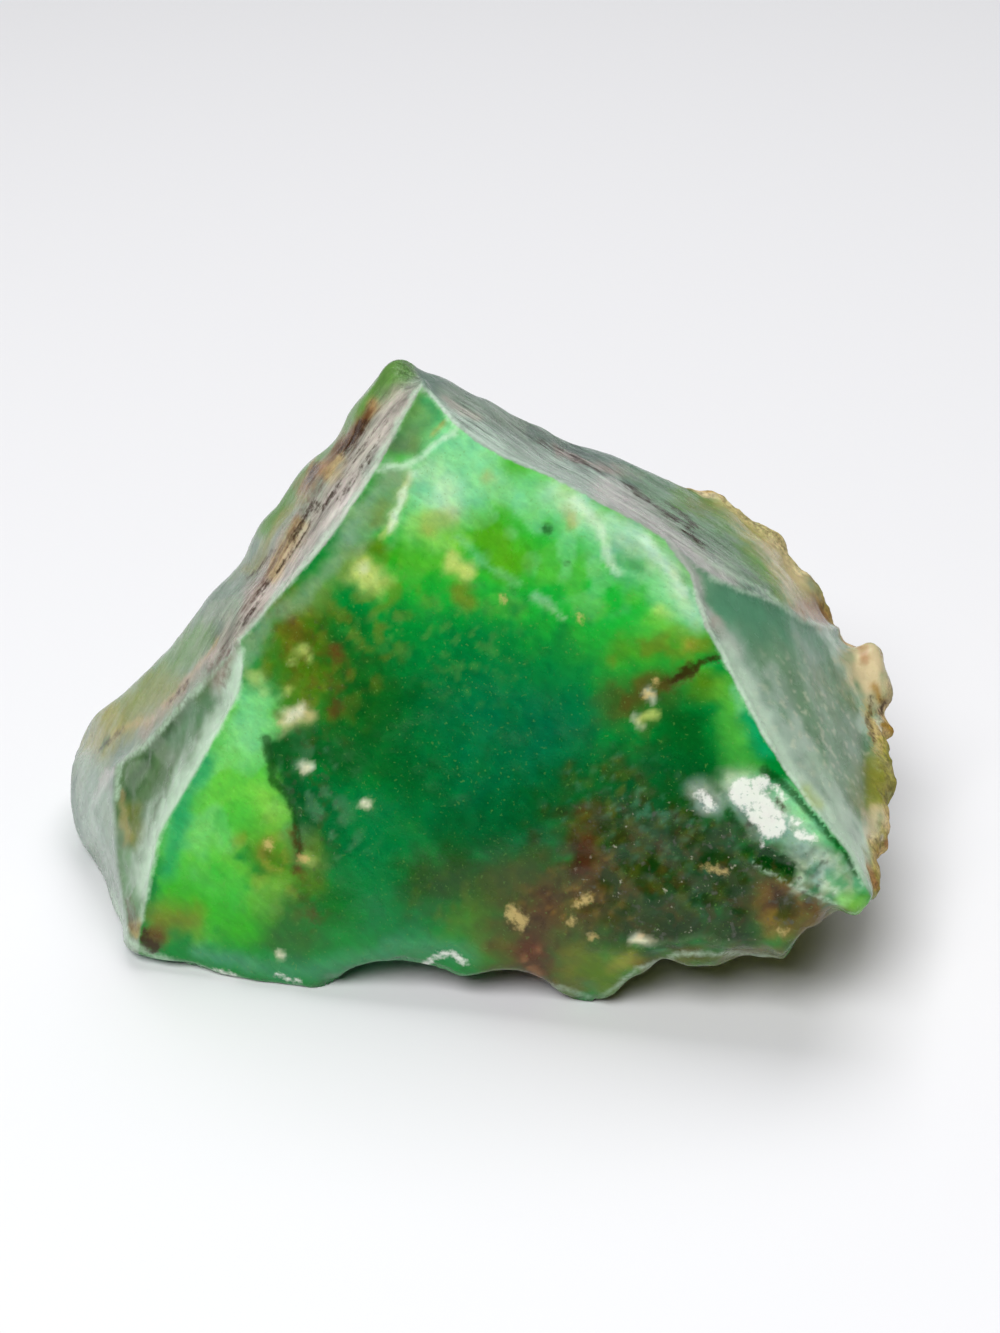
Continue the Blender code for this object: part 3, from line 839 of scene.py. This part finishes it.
def bake(thing):
    """Put the result of an object's modifiers into its mesh."""
    graph = bpy.context.evaluated_depsgraph_get()
    mesh = bpy.data.meshes.new_from_object(thing.evaluated_get(graph))
    thing.modifiers.clear()
    thing.data = mesh
    mesh.name = thing.name


def finer_copy(node):
    """A copy of a CAD node on a finer, even mesh."""
    copy = node.copy()
    copy.data = node.data.copy()
    copy.name = "chrysoprase_skin"
    bpy.context.scene.collection.objects.link(copy)
    cells = copy.modifiers.new("cells", "REMESH")
    cells.mode = "VOXEL"
    cells.voxel_size = CELL * MM
    even = copy.modifiers.new("even", "SMOOTH")
    even.factor = 0.5
    even.iterations = EVEN_PASSES
    swell = copy.modifiers.new("swell", "DISPLACE")
    swell.strength = EVEN_LOSS * MM
    swell.mid_level = 0.0
    bake(copy)
    return copy


class Survey:
    """Where each vertex is, how the lens sees it, and the noise that it carries."""

    AHEAD = np.array((0.0, math.cos(LENS_DOWN), -math.sin(LENS_DOWN)))
    UP = np.array((0.0, math.sin(LENS_DOWN), math.cos(LENS_DOWN)))

    def __init__(self, mesh):
        self.mesh = mesh
        self.look()
        self.start = self.places.copy()
        noise.seed_set(WANDER_SEED)
        self.reach = sum(
            vector_noise_at(self.start, spacing, 10.0 * step) * size
            for step, (spacing, size) in enumerate(WANDER)
        )
        self.fine = noise_at(self.start, *FINE)
        self.medium = noise_at(self.start, *MEDIUM)
        self.coarse = noise_at(self.start, *COARSE)
        self.ragged = noise_at(self.start, 0.9, 45.0) + 0.6 * noise_at(self.start, 0.42, 46.0)
        self.find_faces()
        self.find_crust()

    def look(self):
        """Read the mesh again, in millimetres, and find where the lens sees it."""
        places = np.empty(len(self.mesh.vertices) * 3)
        self.mesh.vertices.foreach_get("co", places)
        normals = np.empty(len(places), np.float32)
        self.mesh.vertex_normals.foreach_get("vector", normals)
        self.places = places.reshape(-1, 3) / MM
        self.normals = normals.reshape(-1, 3).astype(float)
        away = self.places * MM - np.array(LENS_AT)
        self.depth = away @ self.AHEAD
        self.u = MIDDLE[0] + FOCAL * away[:, 0] / self.depth
        self.v = MIDDLE[1] - FOCAL * (away @ self.UP) / self.depth
        away /= np.linalg.norm(away, axis=1)[:, None]
        self.seen = smooth(-np.einsum("ij,ij->i", away, self.normals), *SEEN_TURN)
        self.seen *= smooth(self.places[:, 1], *SEEN_END)

    def move(self, places):
        """Put the vertices at new places, with the foot kept flat on the ground."""
        foot = self.start[:, 2] < FOOT_DEPTH
        places[foot, 2] = self.start[foot, 2]
        places[:, 2] = np.maximum(places[:, 2], 0.0)
        self.mesh.vertices.foreach_set("co", (places * MM).ravel())
        self.mesh.update()
        self.look()
        self.find_faces()

    def find_faces(self):
        """How much of each face is at each vertex, from 0 to 1."""
        u = self.u + EDGE_WANDER * self.reach[:, 0]
        v = self.v + EDGE_WANDER * self.reach[:, 1]
        self.inside = {name: depth_inside(u, v, corners) for name, corners in FACES.items()}
        self.faces = {
            name: self.seen * smooth(inside, -EDGE_SOFTNESS, EDGE_SOFTNESS)
            for name, inside in self.inside.items()
        }
        self.faces["seen"] = self.seen * smooth(self.places[:, 1], *LINES_END)

    def find_crust(self):
        """How much of the crust is at each vertex, from 0 to 1."""
        away = self.start - np.array(CRUST_CORE) + CRUST_WANDER * self.reach
        bearing = np.degrees(np.arctan2(away[:, 1], away[:, 0]))
        height = np.degrees(np.arctan2(away[:, 2], np.hypot(away[:, 0], away[:, 1])))
        self.crust = between(bearing, CRUST_BEARING) * between(height, CRUST_HEIGHT)
        wide = 0.4 * self.fine + 0.5 * self.medium
        for run in CRUST_RUNS:
            near = 1.0 - smooth(run_distance(self.start, run) + wide, *CRUST_WIDTH)
            self.crust = np.maximum(self.crust, near)

    def distance(self, points, wander=1.0):
        """Pixels from each vertex to a mark, with the wander of its edge."""
        u = self.u + wander * self.reach[:, 0]
        v = self.v + wander * self.reach[:, 1]
        return line_distance(u, v, points)

    def cover(self, radius, softness, points, wander=1.0):
        """How much a mark covers each vertex."""
        inside = 1.0 - self.distance(points, wander) / radius + RAGGED * self.ragged
        return smooth(inside, -softness, softness)


def pulled(survey):
    """Places of the vertices after the pulls on the outline."""
    places = survey.places.copy()
    for (u, v), reach, (across, down) in PULLS:
        near = 1.0 - smooth(np.hypot(survey.u - u, survey.v - v), 0.0, reach)
        size = near * survey.depth / FOCAL / MM
        places[:, 0] += across * size
        places -= np.outer(down * size, survey.UP)
    return places


def uneven(survey, rises):
    """Unevenness from the medium and the fine noise, with the rise of each."""
    return rises[0] * survey.medium + rises[1] * survey.fine


def relief(survey):
    """How far each vertex stands out, in millimetres."""
    faces, crust = survey.faces, survey.crust
    height = np.zeros(len(survey.places))
    for line, rise, radius in CRESTS:
        distance = line_distance(survey.u, survey.v, line)
        height += rise * survey.seen * np.clip(1.0 - distance / radius, 0.0, 1.0) ** CREST_POWER
    for face, rise, radius, softness, points in HOLLOWS:
        height += rise * faces[face] * survey.cover(radius, softness, points, SHAPE_WANDER)
    for zone, (way, stretch, size, shift, rise) in zip(grain_zones(survey), GRAIN_RELIEF):
        height += rise * zone * noise_at(drawn_out(survey.start, way, stretch), size, shift)
    height += rough_zone(survey) * uneven(survey, ROUGH_RISE)
    height += faces["front"] * FRONT_RISE * survey.medium
    height += (1.0 - survey.seen) * uneven(survey, HIDDEN_RISE)
    return height + crust * sum(
        rise * noise_at(survey.start, size, shift) for size, shift, rise in CRUMBS
    )


def grain_zones(survey):
    """Where the grain shows on the left and on the right upper faces."""
    zones = []
    for face, line, reach, least in GRAIN_ZONES:
        near = 1.0 - smooth(survey.distance(line, SHAPE_WANDER), *reach)
        zones.append(survey.faces[face] * (least + (1.0 - least) * near))
    return zones


def rough_zone(survey):
    """How rough the broken ground of the front face is."""
    return survey.faces["front"] * survey.cover(*ROUGH_GROUND)


def lay(colours, cover, name):
    """Lay a named colour over colours where it covers them."""
    colours += cover[:, None] * (linear(COLOURS[name]) - colours)


def hidden_colours(survey):
    """Colours of the faces that the photograph doesn't show."""
    result = np.tile(linear(COLOURS["sage"]), (len(survey.places), 1))
    x = survey.start[:, 0]
    stain = noise_at(drawn_out(survey.start, LEFT_GRAIN, 2.5), 2.4, 90.0)
    bloom = noise_at(drawn_out(survey.start, RIGHT_GRAIN, 2.0), 2.0, 100.0)
    fields = {
        "coarse": survey.coarse + 0.4 * survey.medium + 0.15 * survey.ragged,
        "broad": noise_at(survey.start, *BROAD) + 0.3 * survey.medium + 0.15 * survey.ragged,
        "stain": stain + 0.5 * survey.ragged,
        "bloom": bloom + 0.5 * survey.ragged,
    }
    for field, name, strength, start, end in HIDDEN_LAYERS:
        lay(result, strength * smooth(fields[field], start, end), name)
    under = smooth(-survey.normals[:, 2], 0.2, 0.7)
    lay(result, under * smooth(x + 3.0 * survey.coarse, -6.0, 0.0), "purple brown")
    lay(result, under * smooth(x + 4.0 * survey.coarse, 3.0, 9.0), "olive")
    return result


def crust_colours(survey):
    """Colours of the crust."""
    result = np.tile(linear(COLOURS["tan"]), (len(survey.places), 1))
    for size, shift, name, strength, start, end in CRUST_LAYERS:
        lay(result, strength * smooth(noise_at(survey.start, size, shift), start, end), name)
    return result


def lay_mark(survey, colours, mask, mark, number=0):
    """Lay a mark of a list over colours, broken into clouds where it says so."""
    name, radius, strength, points, *rest = mark
    softness = rest[0] if rest else PLAIN_SOFTNESS
    cover = strength * mask * survey.cover(radius, softness, points)
    if len(rest) > 1:
        size, share = rest[1:]
        field = noise_at(survey.start, size, 200.0 + 7.0 * number)
        cover = cover * smooth(field, CLOUD_START - share, CLOUD_FULL - share)
    lay(colours, cover, name)


def front_colours(survey):
    """Colours of the front face, carried on past its borders."""
    result = np.zeros((len(survey.places), 3))
    # the front marks include painted glow, sheen and highlights
    for number, mark in enumerate(FRONT):
        lay_mark(survey, result, 1.0, mark, number)
    return result


def side_colours(survey):
    """Colours of everything but the front face."""
    result = np.tile(linear(COLOURS["grey green"]), (len(survey.places), 1))
    # the side marks include painted sheen and highlights along ridges and rims
    marks = [(face, mark) for face, group in SIDES.items() for mark in group]
    for number, (face, mark) in enumerate(marks, FIRST_OF_SIDES):
        lay_mark(survey, result, survey.faces[face], mark, number)
    result += (1.0 - survey.seen[:, None]) * (hidden_colours(survey) - result)
    result += survey.crust[:, None] * (crust_colours(survey) - result)
    for mark in OVER:
        lay_mark(survey, result, survey.faces["seen"], mark)
    return result


def edge_field(depth):
    """Pixels inside an edge as a value from 0 to 1, with 0.5 on the edge."""
    return np.clip(0.5 + depth / FIELD_REACH / 2.0, 0.0, 1.0)


def crisp_field(survey, kind):
    """How far inside a kind of crisp mark each vertex is: 0.5 on its edge."""
    best = np.zeros(len(survey.places))
    for face, marks in CRISP[kind].items():
        for radius, points in marks:
            depth = radius - survey.distance(points, CRISP_WANDER)
            best = np.maximum(best, edge_field(depth) * survey.faces[face])
    return best


def store(mesh, name, *channels):
    """Keep three numbers for each vertex under a name that a shader can read."""
    values = np.ones((len(mesh.vertices), 4), np.float32)
    values[:, :3] = np.clip(np.stack(channels, axis=1), 0.0, 1.0)
    mesh.attributes.new(name, "FLOAT_COLOR", "POINT").data.foreach_set("color", values.ravel())


def make_skin():
    """The visible stone."""
    skin = finer_copy(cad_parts[STONE])
    mesh = skin.data
    survey = Survey(mesh)
    survey.move(pulled(survey))
    survey.move(survey.places + survey.normals * relief(survey)[:, None])
    front = edge_field(survey.inside["front"]) * survey.seen
    # the two tints carry painted glow, sheen and highlights with the stone's colours
    store(mesh, "front_tint_and_painted_light", *front_colours(survey).T)
    store(mesh, "side_tint_and_painted_light", *side_colours(survey).T)
    crisp = [crisp_field(survey, kind) for kind in KINDS]
    store(mesh, "crisp_a", *crisp[:3])
    store(mesh, "crisp_b", *crisp[3:])
    rough = rough_zone(survey)
    stain = survey.faces["front"] * survey.cover(*STAINED_GROUND)
    store(mesh, "grain", rough + 0.3 * stain, 0.5 * rough + 0.35 * stain, survey.crust)
    store(mesh, "lines", *grain_zones(survey), front)
    mesh.shade_smooth()
    return skin


class Nodes:
    """Builds a material's nodes, and hands back their outputs."""

    def __init__(self, name):
        self.material = bpy.data.materials.new(name)
        self.material.use_nodes = True
        self.tree = self.material.node_tree
        self.shader = self.tree.nodes["Principled BSDF"]

    def put(self, socket, value):
        """Link an output to a socket, or set the socket to a plain value."""
        if isinstance(value, bpy.types.NodeSocket):
            self.tree.links.new(value, socket)
        else:
            socket.default_value = value

    def add(self, kind, inputs, output=0, **settings):
        """A node with its inputs by name or number, and one of its outputs."""
        node = self.tree.nodes.new(kind)
        for name, value in settings.items():
            setattr(node, name, value)
        for name, value in inputs.items():
            self.put(node.inputs[name], value)
        return node.outputs[output]

    def math(self, operation, first, second):
        return self.add("ShaderNodeMath", {0: first, 1: second}, operation=operation)

    def vector(self, operation, inputs, output=0):
        return self.add("ShaderNodeVectorMath", inputs, output, operation=operation)

    def noise(self, place, size, detail=2.0, rough=0.5):
        """Noise of a size in millimetres."""
        inputs = {"Vector": place, "Scale": 1.0 / (size * MM), "Detail": detail, "Roughness": rough}
        return self.add("ShaderNodeTexNoise", inputs)

    def span(self, value, low, high, to_low, to_high, kind="LINEAR"):
        """A value between two limits, spread between two others."""
        inputs = {0: value, 1: low, 2: high, 3: to_low, 4: to_high}
        return self.add("ShaderNodeMapRange", inputs, interpolation_type=kind)

    def blend(self, share, first, second, way="MIX"):
        """Two colours, mixed by a share."""
        node = self.tree.nodes.new("ShaderNodeMix")
        node.data_type = "RGBA"
        node.blend_type = way
        self.put(node.inputs[0], share)
        self.put(node.inputs[6], first)
        self.put(node.inputs[7], second)
        return node.outputs[2]

    def channels(self, name):
        """The three numbers that the mesh keeps under a name."""
        colour = self.add("ShaderNodeAttribute", {}, "Color", attribute_name=name)
        split = self.tree.nodes.new("ShaderNodeSeparateColor")
        self.tree.links.new(colour, split.inputs[0])
        return list(split.outputs)

    def drawn(self, place, way, stretch):
        """A place squeezed along a way, so that noise over it runs with it."""
        along = self.vector("DOT_PRODUCT", {0: place, 1: tuple(way)}, "Value")
        back = self.vector("SCALE", {0: tuple(way * (1.0 / stretch - 1.0)), "Scale": along})
        return self.vector("ADD", {0: place, 1: back})

    def crisp(self, field, wander, softness, strength, waver):
        """Cover of a crisp mark from its field, with a fine edge."""
        depth = self.math("MULTIPLY", self.math("SUBTRACT", field, 0.5), 2.0 * FIELD_REACH)
        depth = self.math("ADD", depth, self.math("MULTIPLY", waver, wander))
        return self.span(depth, -softness, softness, 0.0, strength, "SMOOTHSTEP")


def plain(name, light=1.0):
    """A named colour as a shader's colour."""
    return (*(linear(COLOURS[name]) * light), 1.0)


def stone_colour(nodes, place, stria, crust):
    """The colour of the stone, as a node's output."""
    cloud = nodes.noise(place, 1.2, 4.0, 0.6)
    warm = nodes.span(cloud, 0.50, 0.72, 0.0, 0.40)
    cool = nodes.span(cloud, 0.50, 0.30, 0.0, 0.40)
    # the front tint, with painted glow and highlights
    front = nodes.add("ShaderNodeAttribute", {}, "Color", attribute_name="front_tint_and_painted_light")
    front = nodes.blend(warm, front, WARM, "MULTIPLY")
    front = nodes.blend(cool, front, COOL, "MULTIPLY")
    fibre = nodes.noise(nodes.drawn(place, FRONT_GRAIN, 5.0), 0.35, 3.0, 0.6)
    light = nodes.span(fibre, 0.3, 0.7, 0.88, 1.13)
    front = nodes.vector("SCALE", {0: front, "Scale": light})
    motes = nodes.span(nodes.noise(place, 0.16, 1.0), 0.66, 0.74, 0.0, 0.30)
    front = nodes.blend(motes, front, plain("fern"))

    # the side tint, with painted sheen and highlights
    side = nodes.add("ShaderNodeAttribute", {}, "Color", attribute_name="side_tint_and_painted_light")
    mottle = nodes.span(nodes.noise(place, 1.4, 4.0, 0.6), 0.3, 0.7, 0.86, 1.12)
    light = nodes.math("MULTIPLY", mottle, nodes.span(stria, -1.0, 1.0, 0.50, 1.22))
    side = nodes.vector("SCALE", {0: side, "Scale": light})
    grit = nodes.span(nodes.noise(place, 0.35, 4.0, 0.7), 0.35, 0.65, 0.55, 1.35)
    dusty = nodes.vector("SCALE", {0: side, "Scale": grit})
    side = nodes.blend(crust, side, dusty)

    waver = nodes.math("SUBTRACT", nodes.noise(place, 0.30, 2.0, 0.6), 0.5)
    streaky = nodes.math("ADD", waver, nodes.math("MULTIPLY", stria, -0.30))
    border = nodes.crisp(nodes.channels("lines")[2], 4.0, 1.5, 1.0, waver)
    colour = nodes.blend(border, side, front)

    grounds = dict(zip(("rough", "stained"), nodes.channels("grain")))
    for size, low, high, name, light, ground in SPECKS:
        field = nodes.noise(nodes.vector("ADD", {0: place, 1: (size, size, size)}), size, 2.0)
        cover = nodes.span(field, low, high, 0.0, SPECK_STRENGTH)
        cover = nodes.math("MULTIPLY", cover, grounds[ground])
        colour = nodes.blend(cover, colour, plain(name, light))

    fields = dict(zip(KINDS, nodes.channels("crisp_a") + nodes.channels("crisp_b")))
    flecked = nodes.span(nodes.noise(place, 0.40, 3.0, 0.65), 0.34, 0.46, 0.30, 1.0)
    # pale marks are painted highlights; white marks are the white patch, part of it a painted
    # glint, and painted lip highlights
    for kind in ("pale", "deep", "brown", "tan", "dark", "white"):
        name, wander, softness, strength = KINDS[kind]
        cover = nodes.crisp(fields[kind], wander, softness, strength, streaky)
        if kind in ("tan", "white"):
            cover = nodes.math("MULTIPLY", cover, flecked)
        colour = nodes.blend(cover, colour, plain(name))
    return colour


def stone_material():
    """Glassy green stone with a dull crust."""
    nodes = Nodes("chrysoprase_stone")
    place = nodes.add("ShaderNodeTexCoord", {}, "Object")
    crust = nodes.channels("grain")[2]
    left, right, _ = nodes.channels("lines")
    striae = []
    for way, zone, size in ((LEFT_GRAIN, left, 0.34), (RIGHT_GRAIN, right, 0.30)):
        threads = nodes.noise(nodes.drawn(place, way, 9.0), size, 4.0, 0.6)
        striae.append(nodes.math("MULTIPLY", nodes.span(threads, 0.32, 0.68, -1.0, 1.0), zone))
    stria = nodes.math("ADD", *striae)
    nodes.put(nodes.shader.inputs["Base Color"], stone_colour(nodes, place, stria, crust))

    crumb = nodes.noise(place, 0.5, 5.0, 0.65)
    rise = nodes.math("MULTIPLY", crumb, nodes.span(crust, 0.0, 1.0, BUMP_STONE, BUMP_CRUST))
    rise = nodes.math("ADD", rise, nodes.math("MULTIPLY", stria, BUMP_THREADS))
    bump = nodes.add("ShaderNodeBump", {"Height": rise, "Strength": 1.0, "Distance": BUMP_DEPTH})
    nodes.put(nodes.shader.inputs["Normal"], bump)
    gloss = nodes.span(nodes.noise(place, 1.2, 3.0), 0.3, 0.7, *GLOSS)
    rough = nodes.math("MAXIMUM", gloss, nodes.math("MULTIPLY", crust, CRUST_ROUGHNESS))
    nodes.put(nodes.shader.inputs["Roughness"], rough)
    nodes.shader.inputs["Subsurface Weight"].default_value = GLOW
    nodes.shader.inputs["Subsurface Radius"].default_value = GLOW_COLOURS
    nodes.shader.inputs["Subsurface Scale"].default_value = GLOW_REACH
    nodes.shader.inputs["IOR"].default_value = REFRACTION
    nodes.shader.inputs["Specular IOR Level"].default_value = SHINE
    return nodes.material


def make_camera():
    """The camera at the photograph's place."""
    data = bpy.data.cameras.new("camera")
    data.sensor_width = SENSOR
    data.sensor_fit = "AUTO"
    data.lens = SENSOR * FOCAL / FRAME_HEIGHT
    data.clip_start = 0.001
    camera = bpy.data.objects.new("camera", data)
    camera.location = LENS_AT
    camera.rotation_euler = (math.pi / 2.0 - LENS_DOWN, 0.0, 0.0)
    bpy.context.scene.collection.objects.link(camera)
    bpy.context.scene.camera = camera


def make_stage():
    """A plain pale floor."""
    mesh = bpy.data.meshes.new("floor")
    half = FLOOR_HALF
    corners = [(-half, -half, 0.0), (half, -half, 0.0), (half, half, 0.0), (-half, half, 0.0)]
    mesh.from_pydata(corners, [], [(0, 1, 2, 3)])
    floor = bpy.data.objects.new("floor", mesh)
    bpy.context.scene.collection.objects.link(floor)
    nodes = Nodes("pale_floor")
    nodes.shader.inputs["Base Color"].default_value = FLOOR_COLOUR
    nodes.shader.inputs["Roughness"].default_value = FLOOR_ROUGHNESS
    nodes.shader.inputs["Specular IOR Level"].default_value = FLOOR_SHINE
    mesh.materials.append(nodes.material)


def make_lights():
    """Soft daylight, bright behind and above the stone."""
    scene = bpy.context.scene
    world = bpy.data.worlds.new("studio")
    world.use_nodes = True
    tree = world.node_tree
    ground = tree.nodes["Background"]
    where = tree.nodes.new("ShaderNodeTexCoord")
    split = tree.nodes.new("ShaderNodeSeparateXYZ")
    ramp = tree.nodes.new("ShaderNodeMapRange")
    tree.links.new(where.outputs["Generated"], split.inputs[0])
    tree.links.new(split.outputs["Y"], ramp.inputs["Value"])
    for name, value in SKY_RAMP.items():
        ramp.inputs[name].default_value = value
    tree.links.new(ramp.outputs["Result"], ground.inputs["Strength"])
    scene.world = world
    for name, place, width, power, mirrored in LAMPS:
        data = bpy.data.lights.new(name, "AREA")
        data.shape = "SQUARE"
        data.size = width
        data.energy = power
        lamp = bpy.data.objects.new(name, data)
        lamp.location = place
        lamp.rotation_euler = Vector(place).to_track_quat("Z", "Y").to_euler()
        lamp.visible_glossy = mirrored
        scene.collection.objects.link(lamp)
    scene.view_settings.view_transform = "Standard"


make_camera()
make_stage()
make_lights()
skin = make_skin()
skin.data.materials.clear()
skin.data.materials.append(stone_material())
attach(skin, "root")
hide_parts(STONE)
